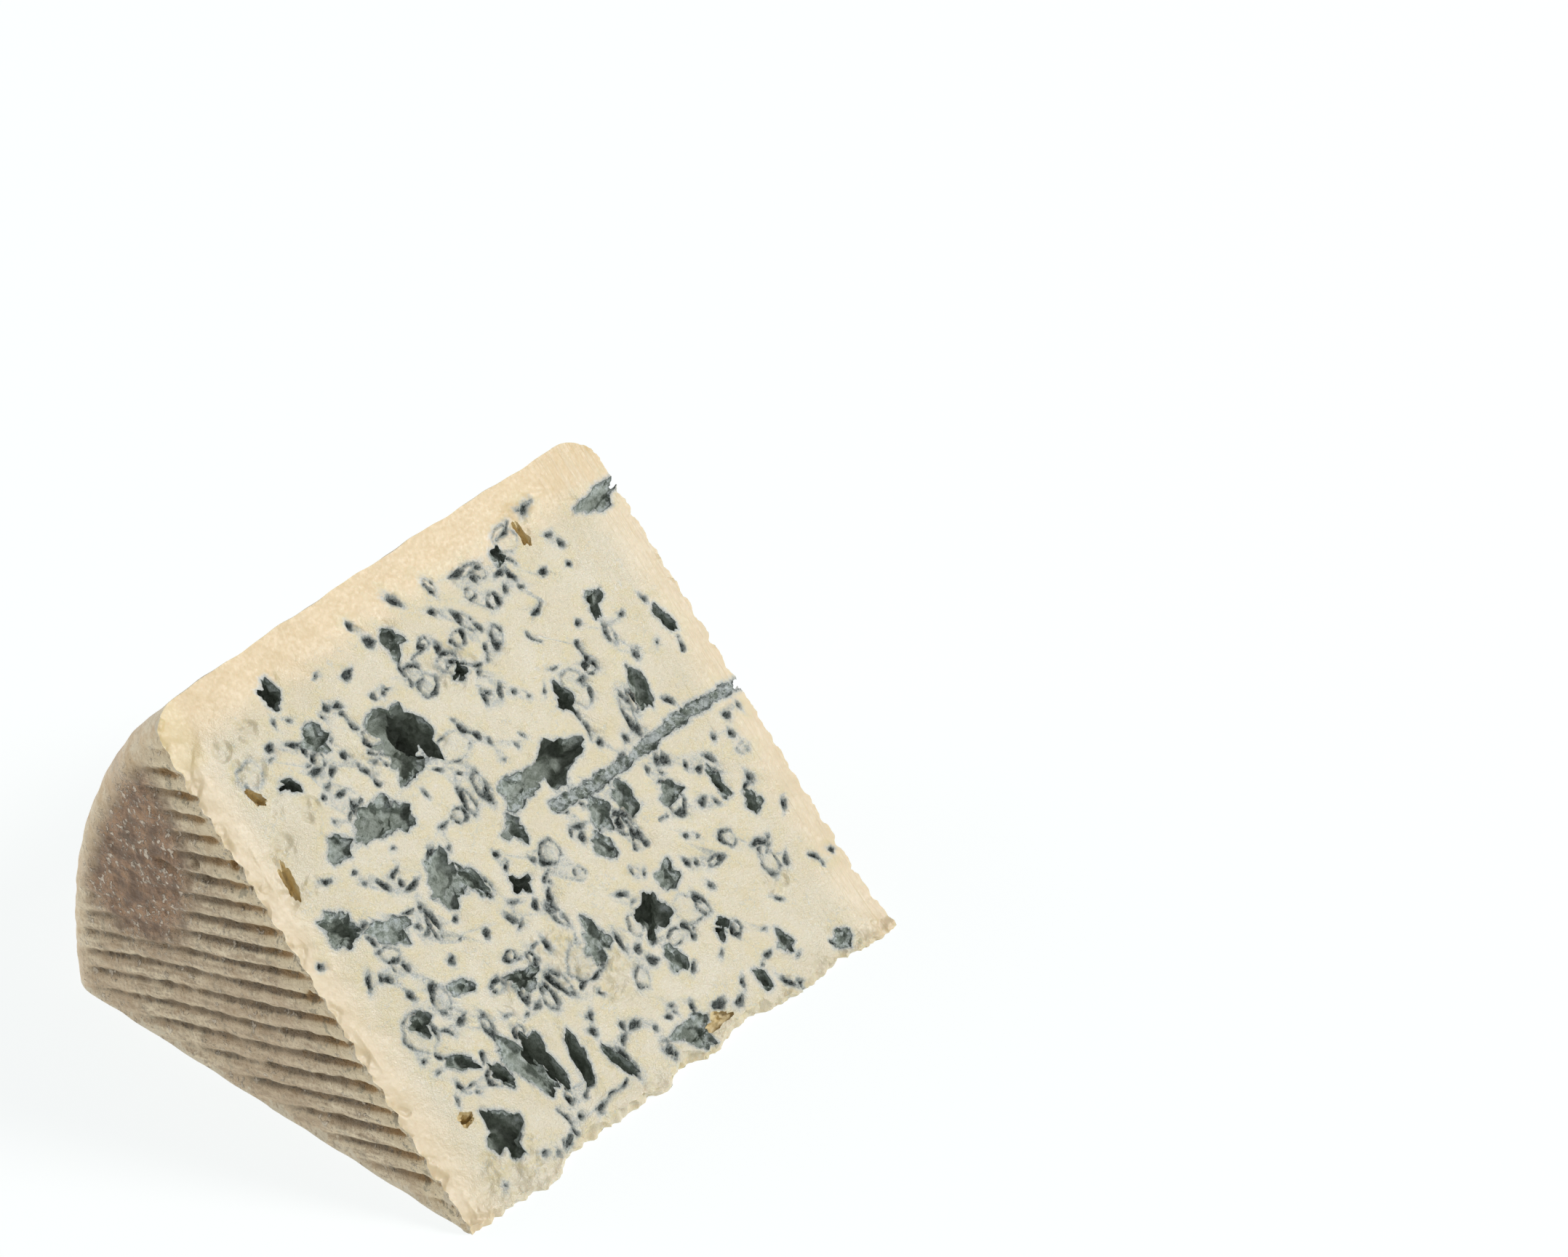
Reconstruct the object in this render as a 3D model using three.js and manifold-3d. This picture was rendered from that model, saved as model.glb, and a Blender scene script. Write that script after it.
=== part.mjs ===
// A wedge of blue cheese, cut from a small drum-shaped wheel and lying on one of its two cut faces.
// Millimetres, +Z up. The wheel's axis runs along X, the wedge's worn tip points to -Y and its rim to +Y.
import * as THREE from "three";
import { mergeVertices } from "three/addons/utils/BufferGeometryUtils.js";
import Module from "manifold-3d";

const wasm = await Module();
wasm.setup();

// Driving dimensions of the wheel
const wheelHeight = 99;
const topRadius = 95;
const spread = 2; // the wheel settles on its base, so the rim is this much wider there
const bulge = 0.6;
const cornerRadius = 6;
const wedgeAngle = THREE.MathUtils.degToRad(47);

// The grooves that the draining mat presses into both flat faces. Each face has its mat at its own turn.
const groovePitch = 3.8;
const grooveDepth = 1.1;
const nearFace = { side: -1, turn: THREE.MathUtils.degToRad(20), firstGroove: 1.4 };
const farFace = { side: 1, turn: THREE.MathUtils.degToRad(3), firstGroove: 0.6 };
const wornPatch = { y: 76, z: 40, halfWidth: 17, halfHeight: 21 }; // where handling wore them away
const plainBorder = 9; // they fade out this far from the rim

// The needle hole that let air in: it runs along the wheel's axis, and the cut laid it open
const needleDiameter = 3;
const needleStart = 54; // its blind end, from the near flat face
const needlePlace = 47.6; // from the tip, measured up the cut face

// Mould-lined openings in the upper cut face, the largest first. Each row holds the place from the near
// flat face, the place from the tip up the cut face, length, width, turn in degrees and depth.
const openings = [
  [37, 71.5, 10, 9.5, 20, 7],
  [40.6, 69, 6, 9, 0, 8.5],
  [35.8, 66.8, 5, 4, 60, 4],
  [59.5, 53.8, 10.5, 7, 0, 6],
  [50.5, 53.5, 6.5, 4.2, 10, 2],
  [25, 62, 8, 5.5, 25, 3.5],
  [29.2, 60.4, 4.4, 4, -20, 3],
  [17, 61.5, 3.8, 4.2, 0, 2],
  [9.5, 50.8, 5.2, 5.4, 0, 4],
  [17.2, 46.4, 6.5, 4, -15, 1.6],
  [30.2, 48, 5.4, 7.5, 0, 3],
  [34.6, 45.5, 2, 6.5, 15, 3],
  [42, 40.4, 3.8, 4, 20, 5],
  [46.3, 48.5, 3.6, 3.8, 30, 3],
  [59.8, 24.4, 5.4, 7.8, -25, 6],
  [61.8, 43, 4, 5.5, -20, 2.5],
  [59, 38, 3.2, 5, 20, 2.2],
  [67.6, 42.4, 3, 4.6, 10, 3],
  [75.6, 39, 4, 3, 0, 2.2],
  [84.8, 35.8, 2, 5, 0, 3],
  [88.7, 29.6, 2.6, 4, -25, 3],
  [66.5, 28.2, 4, 3.8, 0, 2.4],
  [70, 16.1, 2.8, 2.8, 0, 4],
  [59.2, 16.3, 3, 4.4, 0, 2.2],
  [54.6, 5.2, 5.6, 5, 0, 3],
  [59.4, 4, 5.5, 2.6, 0, 2.2],
  [71.2, 5.2, 2, 4.4, 5, 2.6],
  [79, 8.1, 3, 3.6, -15, 1.6],
  [88.6, 3, 3.4, 2.8, 20, 1.6],
  [14.8, 10, 5.6, 9.2, 15, 5.6],
  [10.6, 15.2, 3.4, 2.4, -10, 3],
  [28.3, 16.4, 3.4, 12, 8, 8],
  [24.9, 16.6, 3.6, 10, 25, 3],
  [33.8, 12.4, 2.8, 9.4, -4, 7],
  [39.9, 8.1, 1.8, 7, 18, 4],
  [12.6, 31.6, 3, 3.6, 0, 4],
  [15, 22.8, 4.6, 2, -35, 3.5],
  [20, 17.8, 2, 5, 20, 4],
  [22.4, 32.6, 4.2, 2.4, 0, 1.8],
  [33, 28.2, 5, 3, -25, 4],
  [48, 26, 3.4, 5.6, 0, 2.2],
  [15.5, 73.8, 4, 2.2, -30, 5],
  [9.3, 75.2, 2, 5, 25, 3],
  [6.4, 61.4, 2.2, 7, -5, 3.5],
  [21.2, 87.3, 3.2, 5, -10, 6],
  [23.8, 78, 4.2, 4, -30, 2.6],
  [45.4, 84.4, 3.6, 4, -30, 4],
  [53.2, 74.2, 2.8, 2.6, 0, 4],
  [71.5, 86.7, 2.2, 3, -30, 3],
  [77.7, 87.4, 2, 5.4, 0, 3],
  [82.7, 72, 2.4, 5, -30, 4],
  [67.8, 61.4, 2.8, 6, 15, 5],
  [81.3, 56, 3.2, 6.6, -12, 3.5],
  [92.9, 63.2, 2, 5, 12, 3],
  [94.6, 86.1, 8, 3, 5, 2.6],
];

// The worn tip, as places from the near flat face and how far it stands back from the wheel's axis
const tipWear = [
  [-6, 0.5],
  [9, 0.1],
  [17, -1.2],
  [24, 1.5],
  [40, 0.8],
  [45, 0],
  [49, 2],
  [56, 0.4],
  [64, 2],
  [75, -0.4],
  [87, 0],
  [94, -1.4],
  [106, -0.4],
];
const tipThickness = 1.6;
const bluntReach = 5; // the tip's extra thickness runs out over this length
const cutWave = 0.3;

const halfHeight = wheelHeight / 2;
const paste = new THREE.MeshStandardMaterial({ color: 0xe6d9bd, roughness: 0.55, metalness: 0 });

// A closed three.js geometry as a solid that can be cut and joined
function solid(geometry) {
  geometry.deleteAttribute("normal");
  geometry.deleteAttribute("uv");
  const merged = mergeVertices(geometry, 1e-4);
  return new wasm.Manifold(
    new wasm.Mesh({
      numProp: 3,
      vertProperties: new Float32Array(merged.attributes.position.array),
      triVerts: new Uint32Array(merged.index.array),
    }),
  );
}

function moveVertices(geometry, move) {
  const places = geometry.attributes.position;
  const point = new THREE.Vector3();
  for (let i = 0; i < places.count; i += 1) {
    point.fromBufferAttribute(places, i);
    move(point);
    places.setXYZ(i, point.x, point.y, point.z);
  }
  return geometry;
}

// Small hollows and swellings of a few millimetres, between -1 and 1
function unevenness(a, b) {
  return (
    0.5 * Math.sin(0.31 * a + 0.9 * Math.sin(0.17 * b)) +
    0.3 * Math.sin(0.47 * b + 1.3 * Math.sin(0.23 * a)) +
    0.2 * Math.sin(0.83 * (a + b))
  );
}

// The whole wheel: a drum with rounded corners, wider towards its base
function wheel() {
  const overhang = 0.5; // the flat faces are cut back by this much
  const end = halfHeight + overhang;
  const cornerSteps = 5;
  const rimSteps = 14;
  const radiusAt = (x) =>
    topRadius + (spread * (x + halfHeight)) / wheelHeight + bulge * Math.cos((Math.PI * x) / wheelHeight);
  const profile = [new THREE.Vector2(0, -end)];
  for (let i = 0; i <= cornerSteps; i += 1) {
    const angle = (Math.PI / 2) * (i / cornerSteps);
    const x = -end + cornerRadius * (1 - Math.cos(angle));
    profile.push(new THREE.Vector2(radiusAt(x) - cornerRadius * (1 - Math.sin(angle)), x));
  }
  for (let i = 1; i < rimSteps; i += 1) {
    const x = -end + cornerRadius + (i / rimSteps) * 2 * (end - cornerRadius);
    profile.push(new THREE.Vector2(radiusAt(x), x));
  }
  for (let i = cornerSteps; i >= 0; i -= 1) {
    const angle = (Math.PI / 2) * (i / cornerSteps);
    const x = end - cornerRadius * (1 - Math.cos(angle));
    profile.push(new THREE.Vector2(radiusAt(x) - cornerRadius * (1 - Math.sin(angle)), x));
  }
  profile.push(new THREE.Vector2(0, end));
  const turned = new THREE.LatheGeometry(profile, 180);
  turned.rotateZ(-Math.PI / 2);
  const dentDepth = 0.5;
  moveVertices(turned, (point) => {
    const radius = Math.hypot(point.y, point.z);
    if (radius < topRadius - 2 * cornerRadius) return;
    const around = Math.atan2(point.z, point.y) * topRadius;
    const dent = dentDepth * (0.5 + 0.5 * unevenness(point.x * 1.3, around));
    point.y *= 1 - dent / radius;
    point.z *= 1 - dent / radius;
  });
  return solid(turned);
}

// How deep the mat's groove is at a place on a flat face. Near the rim the grooves are worn away.
function groove(face, y, z) {
  const across = y * Math.sin(face.turn) + z * Math.cos(face.turn) + 0.25 * unevenness(y * 0.5, z * 0.5);
  const wave = 0.5 + 0.5 * Math.cos((2 * Math.PI * (across - face.firstGroove)) / groovePitch);
  const patchAlong = (y - wornPatch.y) / wornPatch.halfWidth;
  const patchUp = (z - wornPatch.z) / wornPatch.halfHeight;
  const toRim = topRadius - Math.hypot(y, z);
  const outsidePatch = THREE.MathUtils.smoothstep(Math.hypot(patchAlong, patchUp), 0.6, 1.15);
  const insideBorder = THREE.MathUtils.smoothstep(toRim, 0.25 * plainBorder, plainBorder);
  const leastDepth = 0.12;
  return grooveDepth * wave ** 1.5 * THREE.MathUtils.lerp(leastDepth, 1, outsidePatch * insideBorder);
}

// The slab between the two grooved flat faces. Its grid follows the grooves of the face it is made for.
function groovedSlab(face) {
  const grooves = 28;
  const stepsPerGroove = 4;
  const across = grooves * groovePitch;
  const along = 1.4 * topRadius;
  const stepsAlong = 10;
  const centre = new THREE.Vector2(topRadius / 2, topRadius / 3);
  const slab = new THREE.BoxGeometry(wheelHeight, across, along, 1, grooves * stepsPerGroove, stepsAlong);
  slab.rotateX(Math.PI / 2 - face.turn);
  const centreAcross = centre.x * Math.sin(face.turn) + centre.y * Math.cos(face.turn);
  const offGroove = (centreAcross - face.firstGroove) / groovePitch;
  const shift = (Math.round(offGroove) - offGroove) * groovePitch;
  slab.translate(0, centre.x + shift * Math.sin(face.turn), centre.y + shift * Math.cos(face.turn));
  const clear = 10; // the slab's other side stands clear of the wheel
  moveVertices(slab, (point) => {
    const grooved = Math.sign(point.x) === face.side;
    const depth = grooved ? groove(face, point.y, point.z) : -clear;
    point.x = Math.sign(point.x) * (halfHeight - depth);
  });
  return solid(slab);
}

// How far the worn tip stands back from the axis, at a place along the wheel's axis
function tipAt(x) {
  const place = x + halfHeight;
  const next = Math.max(1, tipWear.findIndex((row) => row[0] >= place));
  const [[x0, back0], [x1, back1]] = [tipWear[next - 1], tipWear[next]];
  const share = (place - x0) / (x1 - x0);
  return THREE.MathUtils.lerp(back0, back1, share * share * (3 - 2 * share));
}

// How far the upper cut stands off its plane: slightly wavy from the knife, and blunt at the tip
function upperRelief(x, fromTip) {
  return cutWave * (unevenness(x, fromTip) - 1) + tipThickness * Math.exp(-Math.max(0, fromTip) / bluntReach);
}

// All that lies below the upper knife cut and behind the worn tip
function belowUpperCut() {
  const width = wheelHeight + 12;
  const reach = 1.25 * topRadius;
  const below = 10;
  const body = new THREE.BoxGeometry(width, 1, 1, 18, 1, 20);
  moveVertices(body, (point) => {
    const up = point.y > 0;
    const share = 0.5 - point.z;
    const place = THREE.MathUtils.lerp(tipAt(point.x), reach, share);
    const relief = upperRelief(point.x, place);
    point.y = up ? place * Math.cos(wedgeAngle) - relief * Math.sin(wedgeAngle) : place;
    point.z = up ? place * Math.sin(wedgeAngle) + relief * Math.cos(wedgeAngle) : -below;
  });
  return solid(body);
}

// All that lies above the lower knife cut, the flat plane that the wedge rests on
function aboveLowerCut() {
  const size = 3 * topRadius;
  const block = new THREE.BoxGeometry(size, size, size);
  block.translate(0, 0, size / 2);
  return solid(block);
}

// A lumpy hollow, as the curds leave it between them: a ball pushed in and out, then stretched
function hollow(length, width, depth, number, detail) {
  const ball = new THREE.IcosahedronGeometry(1, detail);
  moveVertices(ball, (point) => {
    const lump =
      1 +
      0.14 * Math.sin(3.1 * point.x + 2.3 * point.y + 1.7 * number) +
      0.12 * Math.sin(4.7 * point.y - 3.9 * point.z + 2.9 * number) +
      0.08 * Math.sin(6.3 * point.x + 5.1 * point.z + 4.1 * number);
    point.multiplyScalar(lump);
  });
  ball.scale(length / 2, width / 2, depth * 0.65);
  return ball;
}

// Where a cut face lies: X across it, Y up it from the tip, and Z out of the cheese
function cutFace(upper) {
  const rise = upper ? wedgeAngle : 0;
  const out = upper ? 1 : -1;
  return new THREE.Matrix4().makeBasis(
    new THREE.Vector3(out, 0, 0),
    new THREE.Vector3(0, Math.cos(rise), Math.sin(rise)),
    new THREE.Vector3(0, -Math.sin(rise) * out, Math.cos(rise) * out),
  );
}

function placedHollow([place, fromTip, length, width, turn, depth], number, upper) {
  const largest = Math.max(length, width);
  const detail = Number(largest > 4.2) + Number(largest > 8.5);
  const ball = hollow(length, width, depth, number, detail);
  const x = place - halfHeight;
  const surface = upper ? upperRelief(x, fromTip) : 0;
  ball.rotateZ(THREE.MathUtils.degToRad(turn));
  ball.translate(upper ? x : -x, fromTip, surface - depth * 0.3);
  ball.applyMatrix4(cutFace(upper));
  return solid(ball);
}

// A seeded draw of numbers from 0 to 1
function draw(seed) {
  let state = seed;
  return () => {
    state = (Math.imul(state, 1664525) + 1013904223) >>> 0;
    return state / 4294967296;
  };
}

// The lower cut face has the same kind of openings, scattered clear of its middle
function lowerOpenings() {
  const random = draw(47);
  const rows = [];
  const count = 12;
  const margin = 9;
  const spacing = 9;
  const middleRadius = 14;
  while (rows.length < count) {
    const place = margin + random() * (wheelHeight - 2 * margin);
    const fromTip = margin + random() * (topRadius - 2 * margin);
    const width = 1.8 + 3.2 * random() ** 2;
    const length = width * (1.2 + random());
    const turn = random() * 180;
    const row = [place, fromTip, length, width, turn, 0.9 * width];
    const apart = rows.every((other) => Math.hypot(other[0] - place, other[1] - fromTip) > spacing);
    const offMiddle = Math.hypot(place - halfHeight, fromTip - topRadius / 2) > middleRadius;
    if (apart && offMiddle) rows.push(row);
  }
  return rows;
}

// The needle hole: a rod with a rounded blind end, half above the cut face so that it lies open
function needleHole() {
  const radius = needleDiameter / 2;
  const length = wheelHeight - needleStart + 6;
  const rod = new THREE.CapsuleGeometry(radius, length, 3, 10);
  rod.rotateZ(-Math.PI / 2);
  rod.translate(needleStart - halfHeight + length / 2, needlePlace, -radius * 0.25);
  moveVertices(rod, (point) => {
    point.y += 0.5 * Math.sin(0.16 * point.x + 2);
  });
  rod.applyMatrix4(cutFace(true));
  return solid(rod);
}

// The thin slice broken off beside the rim, at the near end of the upper cut
function brokenCorner() {
  const sliceLength = 17;
  const sliceWidth = 9;
  const sliceTurn = THREE.MathUtils.degToRad(49);
  const runOut = THREE.MathUtils.degToRad(-5);
  const slice = new THREE.BoxGeometry(sliceLength, sliceWidth, 2);
  slice.rotateX(runOut);
  slice.rotateZ(sliceTurn);
  slice.translate(-halfHeight, 87.6, 0.1);
  slice.applyMatrix4(cutFace(true));
  return solid(slice);
}

function wedge() {
  let cheese = wheel().intersect(aboveLowerCut()).intersect(belowUpperCut());
  cheese = cheese.intersect(groovedSlab(nearFace)).intersect(groovedSlab(farFace));
  cheese = cheese.subtract(brokenCorner()).subtract(needleHole());
  openings.forEach((row, number) => {
    cheese = cheese.subtract(placedHollow(row, number, true));
  });
  lowerOpenings().forEach((row, number) => {
    cheese = cheese.subtract(placedHollow(row, number + openings.length, false));
  });
  const mesh = cheese.getMesh();
  const geometry = new THREE.BufferGeometry();
  geometry.setAttribute("position", new THREE.BufferAttribute(mesh.vertProperties, 3));
  geometry.setIndex(new THREE.BufferAttribute(mesh.triVerts, 1));
  geometry.computeBoundingBox();
  const middle = geometry.boundingBox.getCenter(new THREE.Vector3());
  geometry.translate(-middle.x, -middle.y, 0);
  geometry.computeVertexNormals();
  return geometry;
}

const cheeseWedge = new THREE.Mesh(wedge(), paste);
cheeseWedge.name = "cheese_wedge";

const model = new THREE.Group();
model.add(cheeseWedge);

export default model;
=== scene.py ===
import math
from functools import partial

import bmesh
import bpy
import numpy as np
from mathutils import Matrix, Vector, noise
from mathutils.kdtree import KDTree


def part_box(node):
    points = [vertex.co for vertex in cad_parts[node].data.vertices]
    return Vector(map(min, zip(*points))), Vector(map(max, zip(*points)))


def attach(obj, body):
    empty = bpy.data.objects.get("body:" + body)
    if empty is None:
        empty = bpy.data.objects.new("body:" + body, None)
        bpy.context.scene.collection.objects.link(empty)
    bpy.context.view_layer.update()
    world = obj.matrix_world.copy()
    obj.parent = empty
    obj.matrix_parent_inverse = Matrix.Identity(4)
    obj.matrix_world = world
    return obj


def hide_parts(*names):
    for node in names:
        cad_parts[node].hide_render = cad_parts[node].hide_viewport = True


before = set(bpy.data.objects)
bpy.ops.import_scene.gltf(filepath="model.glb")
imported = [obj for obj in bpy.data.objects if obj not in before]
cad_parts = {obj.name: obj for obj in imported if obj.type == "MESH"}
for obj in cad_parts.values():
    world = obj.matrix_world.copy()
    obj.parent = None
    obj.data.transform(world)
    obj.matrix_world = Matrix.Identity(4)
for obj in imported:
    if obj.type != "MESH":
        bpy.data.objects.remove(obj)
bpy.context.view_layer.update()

# The camera: a long lens from in front of the near flat face, looking down on the upper cut. Its
# place, turn and focal length were fitted to the corners of the wedge.
picture_width = 2156
focal_pixels = 6500
sensor_width = 36.0
camera_azimuth = math.radians(-47.2)
camera_elevation = math.radians(36.4)
camera_roll = math.radians(-1.7)
camera_distance = 0.9206
camera_target = Vector((0.1375, 0.0561, -0.0379))
nearest_seen = 0.01
farthest_seen = 10

camera_data = bpy.data.cameras.new("camera")
camera_data.sensor_width = sensor_width
camera_data.lens = focal_pixels / picture_width * sensor_width
camera_data.clip_start = nearest_seen
camera_data.clip_end = farthest_seen
camera = bpy.data.objects.new("camera", camera_data)
camera.matrix_world = (
    Matrix.Translation(camera_target)
    @ Matrix.Rotation(camera_azimuth, 4, "Z")
    @ Matrix.Rotation(math.radians(90) - camera_elevation, 4, "X")
    @ Matrix.Rotation(camera_roll, 4, "Z")
    @ Matrix.Translation((0, 0, camera_distance))
)
bpy.context.scene.collection.objects.link(camera)
bpy.context.scene.camera = camera

# The cheese: a sector of a drum-shaped wheel of blue cheese. The wheel was pressed in a hoop, so its
# corners are round, and it settled a little wider at its base. It dried on draining mats, whose rods
# left grooves in both flat faces. Two strokes of a knife cut the sector, which lies on the lower cut.
mm = 0.001
low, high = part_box("cheese_wedge")
wheel_height = (high.x - low.x) / mm
top_radius = 95
base_radius = 97
bulge = 0.6
corner_radius = 6
wedge_angle = math.radians(47)
rim_reach = 96.82
axis_y = high.y - rim_reach * mm
along_slope = Vector((0, math.cos(wedge_angle), math.sin(wedge_angle)))
out_of_cut = Vector((0, -math.sin(wedge_angle), math.cos(wedge_angle)))
groove_pitch = 3.8
groove_depth = 1.1
near_turn = math.radians(20)
near_first_groove = 1.4
far_turn = math.radians(3)
far_first_groove = 0.6
worn_middle = (76, 40)
worn_size = (17, 21)
plain_border = 9
rind_step = 0.6
rind_pits = [(64.5, 40, 2.2, 0.7), (32.5, 31, 1.2, 0.6), (48, 48.5, 0.8, 0.8), (57, 44, 0.9, 0.6)]
rind_pit_depth = 1.1
rind_skin = 4
groove_share = 1.05
lump_height = 0.3
crumb_height = 0.55
lump_room = 0.15
rim_dent = 0.5
crag_falloff = 0.8
crag_step = 2.1


def new_piece(name, mesh_maker, *materials):
    """A new object, whose mesh is what mesh_maker leaves in a bmesh worked in millimetres: X from the
    near flat face, Y from the wheel's axis along the table, and Z up."""
    mesh = bpy.data.meshes.new(name)
    made = bmesh.new()
    mesh_maker(made)
    bmesh.ops.recalc_face_normals(made, faces=made.faces)
    bmesh.ops.scale(made, verts=made.verts, vec=(mm, mm, mm))
    bmesh.ops.translate(made, verts=made.verts, vec=(low.x, axis_y, 0))
    made.to_mesh(mesh)
    made.free()
    for material in materials:
        mesh.materials.append(material)
    piece = bpy.data.objects.new(name, mesh)
    bpy.context.scene.collection.objects.link(piece)
    return piece


def apply_modifier(piece, kind, **settings):
    """Puts a modifier's result in the piece. The piece's materials stay in their slots."""
    modifier = piece.modifiers.new(kind, kind)
    for name, value in settings.items():
        setattr(modifier, name, value)
    bpy.context.view_layer.update()
    finished = piece.evaluated_get(bpy.context.evaluated_depsgraph_get())
    done = bpy.data.meshes.new_from_object(finished)
    piece.modifiers.clear()
    old = piece.data
    while len(done.materials) > len(old.materials):
        done.materials.pop()
    while len(done.materials) < len(old.materials):
        done.materials.append(None)
    for number, material in enumerate(old.materials):
        done.materials[number] = material
    piece.data = done
    bpy.data.meshes.remove(old)


def cut_away(piece, cutter, lining):
    """Cuts the cutter out of the piece. The new walls get one of the piece's own materials."""
    index = piece.data.materials.find(lining.name)
    cutter.data.polygons.foreach_set("material_index", [index] * len(cutter.data.polygons))
    apply_modifier(
        piece, "BOOLEAN", object=cutter, operation="DIFFERENCE", solver="MANIFOLD", material_mode="INDEX"
    )
    bpy.data.objects.remove(cutter)


def all_values(items, name, kind, width=1):
    """One property of all the items of a mesh, in a row each."""
    values = np.empty(len(items) * width, kind)
    items.foreach_get(name, values)
    return values.reshape(-1, width) if width > 1 else values


def places(mesh):
    """A mesh's vertices in millimetres: from the near face, from the axis along the table, and up."""
    return (all_values(mesh.vertices, "co", np.float32, 3).astype(float) - (low.x, axis_y, 0)) / mm


def put_places(mesh, point):
    """Moves a mesh's vertices to places in millimetres."""
    flat = point * mm + (low.x, axis_y, 0)
    mesh.vertices.foreach_set("co", flat.astype(np.float32).ravel())
    mesh.update()


def on_cut(point):
    """The same vertices as seen from the upper cut: across it, up it from the tip, and out of it."""
    across, along, up = point.T
    from_tip = along * along_slope.y + up * along_slope.z
    out = along * out_of_cut.y + up * out_of_cut.z
    return across, from_tip, out


def smooth_step(value, start, end):
    """0 up to start, rising smoothly to 1 at end."""
    share = np.clip((value - start) / (end - start), 0, 1)
    return share * share * (3 - 2 * share)


def unevenness(a, b):
    """Small hollows and swellings of a few millimetres, between -1 and 1."""
    return (
        0.5 * np.sin(0.31 * a + 0.9 * np.sin(0.17 * b))
        + 0.3 * np.sin(0.47 * b + 1.3 * np.sin(0.23 * a))
        + 0.2 * np.sin(0.83 * (a + b))
    )


def groove(far, y, z):
    """How deep the mat's groove is at a place on a flat face. Handling wore some of them away."""
    turn = far_turn if far else near_turn
    first = far_first_groove if far else near_first_groove
    across = y * np.sin(turn) + z * np.cos(turn) + 0.25 * unevenness(y * 0.5, z * 0.5)
    wave = 0.5 + 0.5 * np.cos(2 * np.pi * (across - first) / groove_pitch)
    from_patch = np.hypot((y - worn_middle[0]) / worn_size[0], (z - worn_middle[1]) / worn_size[1])
    to_rim = top_radius - np.hypot(y, z)
    kept = smooth_step(from_patch, 0.6, 1.15) * smooth_step(to_rim, 0.25 * plain_border, plain_border)
    return groove_depth * wave ** 2.4 * (0.12 + 0.88 * kept)


def height_change(edge):
    return abs(edge.verts[0].co.z - edge.verts[1].co.z)


def round_edges(made, edges, radius, segments):
    bmesh.ops.bevel(
        made, geom=edges, offset=radius, offset_type="OFFSET", segments=segments, profile=0.5,
        affect="EDGES", material=-1,
    )


def make_wheel(made):
    """The wheel's sector, a little larger than the wedge on its cut sides."""
    bmesh.ops.create_cone(
        made, cap_ends=True, segments=240, radius1=top_radius, radius2=base_radius, depth=wheel_height
    )
    rims = [edge for edge in made.edges if height_change(edge) < 1]
    round_edges(made, rims, corner_radius, 8)
    bmesh.ops.rotate(made, verts=made.verts, matrix=Matrix.Rotation(math.radians(90), 3, "Y"))
    bmesh.ops.translate(made, verts=made.verts, vec=(wheel_height / 2, 0, 0))
    spare = 3
    behind_axis = 8
    for place, normal in (
        (Vector((0, 0, -spare)), Vector((0, 0, -1))),
        (out_of_cut * spare, out_of_cut),
        (Vector((0, -behind_axis, 0)), Vector((0, -1, 0))),
    ):
        cut = bmesh.ops.bisect_plane(
            made, geom=made.verts[:] + made.edges[:] + made.faces[:], plane_co=place, plane_no=normal,
            clear_outer=True,
        )
        edges = [item for item in cut["geom_cut"] if isinstance(item, bmesh.types.BMEdge)]
        bmesh.ops.holes_fill(made, edges=edges)
    bmesh.ops.triangulate(made, faces=made.faces)


def swells(points, scale, octaves, seed):
    """Noise about 0 at points in millimetres, with swells 1 / scale millimetres long."""
    shift = Vector((seed, 0, 0))
    return np.array([
        noise.fractal(Vector(point) * scale + shift, crag_falloff, crag_step, octaves)
        for point in points
    ])


def press_grooves(mesh):
    """Presses the grooves into both flat faces, makes them lumpy, and bulges and dents the rim."""
    point = places(mesh)
    normal = all_values(mesh.vertices, "normal", np.float32, 3)
    x, y, z = point.T
    flats = np.abs(x - wheel_height / 2) > wheel_height / 2 - rind_skin
    swell, lump, crumb = np.zeros((3, len(x)))
    swell[flats] = swells(point[flats], 0.11, 2, 3)
    lump[flats] = swells(point[flats], 0.3, 4, 9)
    crumb[flats] = swells(point[flats], 0.8, 2, 5)
    near = smooth_step(-normal[:, 0], 0.5, 0.85) * (x < rind_skin)
    far = smooth_step(normal[:, 0], 0.5, 0.85) * (x > wheel_height - rind_skin)
    below_cut = y * math.sin(wedge_angle) - z * math.cos(wedge_angle)
    off_table = smooth_step(z, 0, 6)
    kept = groove_share * (0.45 + 0.55 * smooth_step(below_cut, 0.5, 4)) * (0.25 + 0.75 * off_table)
    kept = kept * (1 + 0.25 * swell) * (1 - 0.28 * smooth_step(below_cut, 8, 30))
    torn = smooth_step(2.2 - below_cut, 0, 1.5)
    lumps = lump_height * lump * (0.2 + 0.8 * off_table) + crumb_height * torn * crumb
    for pit_y, pit_z, pit_width, pit_height in rind_pits:
        off_pit = -((y - pit_y) / pit_width) ** 4 - ((z - pit_z) / pit_height) ** 4
        lumps = lumps + rind_pit_depth * np.exp(off_pit)
    lumps = lumps + lump_room
    x = x + near * (kept * groove(False, y, z) + lumps) - far * (kept * groove(True, y, z) + lumps)
    radius = np.hypot(y, z)
    outward = (y * normal[:, 1] + z * normal[:, 2]) / np.maximum(radius, 1)
    on_rim = smooth_step(outward, 0.5, 0.85) * (radius > 85)
    round_rim = np.arctan2(z, y) * top_radius
    dent = rim_dent * (0.5 + 0.5 * unevenness((x - wheel_height / 2) * 1.3, round_rim))
    change = bulge * np.sin(np.pi * x / wheel_height) - dent
    scale = 1 + on_rim * change / np.maximum(radius, 1)
    put_places(mesh, np.stack([x, y * scale, z * scale], 1))


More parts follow.
